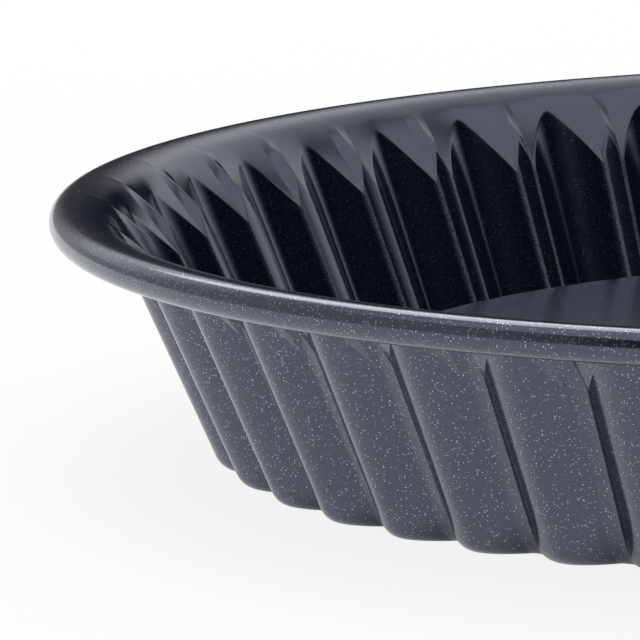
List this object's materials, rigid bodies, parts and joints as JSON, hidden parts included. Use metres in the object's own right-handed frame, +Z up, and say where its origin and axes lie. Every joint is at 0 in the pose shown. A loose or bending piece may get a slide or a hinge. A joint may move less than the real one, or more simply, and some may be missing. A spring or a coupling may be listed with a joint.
{
  "type": "sponge flan tin",
  "caption": "Round fluted baking tin with a wired rolled rim, a sloping flange, and a loose base with a raised centre that leaves a channel round it.",
  "frame": {"origin": "centre of the underside, on the surface that the tin stands on", "axes": "+Z up along the tin's axis, +X through the crest of a flute"},
  "size_m": [0.3, 0.3, 0.042],
  "materials": {
    "enamel": "glossy dark slate coating with fine bright flecks",
    "wire": "bare drawn steel",
    "base_enamel": "glossy dark slate coating with fine bright flecks"
  },
  "bodies": {
    "tin": {"fluted_ring": "enamel", "rim_wire": "wire"},
    "base": {"loose_base": "base_enamel"}
  },
  "joints": [
    {"name": "base_lift", "type": "slide", "parent": "tin", "child": "base", "axis": [0, 0, 1], "range_m": [0, 0.06]}
  ]
}
